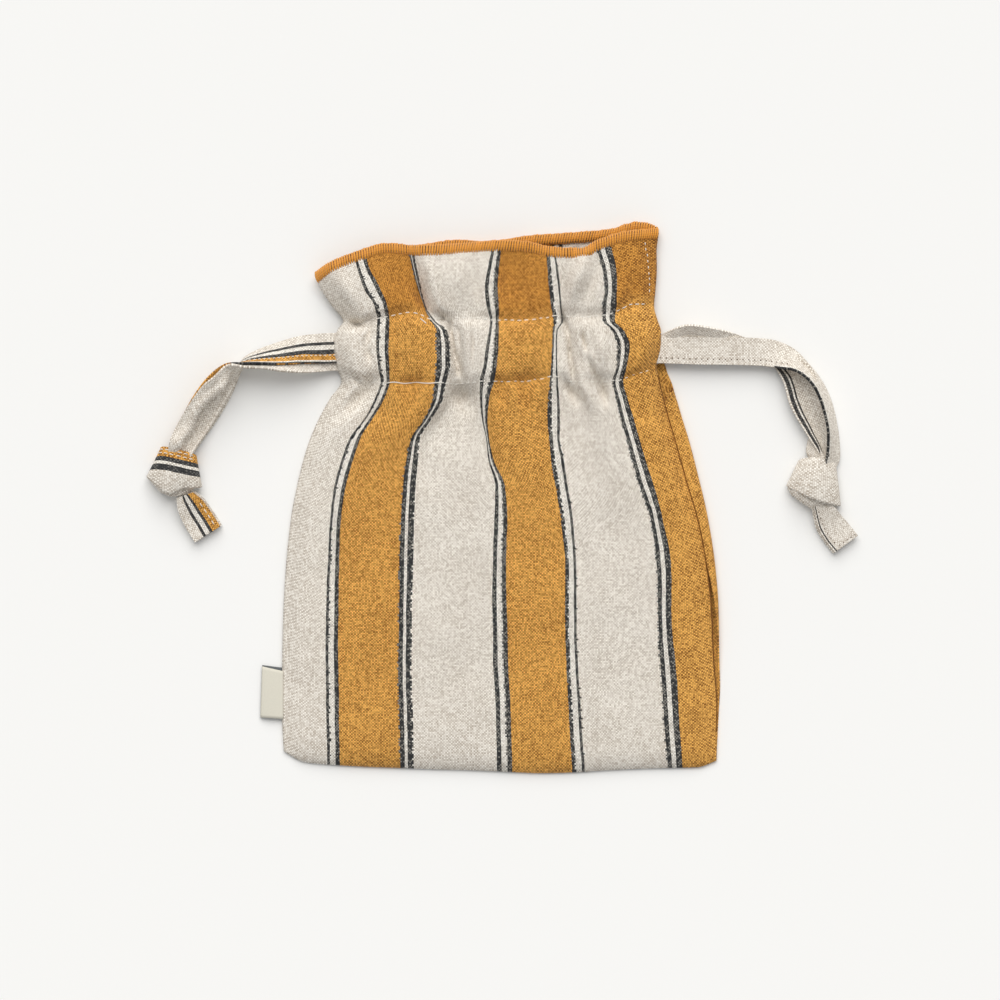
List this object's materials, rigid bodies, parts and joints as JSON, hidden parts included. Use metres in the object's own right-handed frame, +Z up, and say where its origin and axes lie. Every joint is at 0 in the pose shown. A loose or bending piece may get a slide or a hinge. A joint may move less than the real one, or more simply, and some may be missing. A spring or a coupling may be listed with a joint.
{
  "type": "drawstring pouch",
  "caption": "Small striped linen drawstring pouch lying flat and empty, with a gathered neck, a frilled mouth and knotted tape ties at both sides.",
  "frame": {"origin": "on the surface that the pouch lies on, under the middle of the pouch without its ties", "axes": "+Z up from the surface, +Y from the hem to the mouth, +X across the pouch to its right as seen from above"},
  "size_m": [0.2843, 0.2204, 0.0139],
  "materials": {
    "striped_linen": "matt plain-woven linen in mustard and natural stripes with black and white lines",
    "linen_tape": "matt folded and topstitched linen tape",
    "overlock_thread": "soft-sheen mustard thread wrapped over the edge",
    "woven_label": "smooth blank cream woven label"
  },
  "bodies": {
    "root": {"front_panel": "striped_linen", "back_panel": "striped_linen", "front_edging": "overlock_thread", "back_edging": "overlock_thread", "side_label": "woven_label", "left_drawstring": "linen_tape", "right_drawstring": "linen_tape", "left_tie_upper": "linen_tape", "left_tie_lower": "linen_tape", "right_tie_upper": "linen_tape", "right_tie_lower": "linen_tape", "left_knot": "linen_tape", "right_knot": "linen_tape", "left_tail_upper": "linen_tape", "left_tail_lower": "linen_tape", "right_tail_upper": "linen_tape", "right_tail_lower": "linen_tape"}
  },
  "joints": []
}
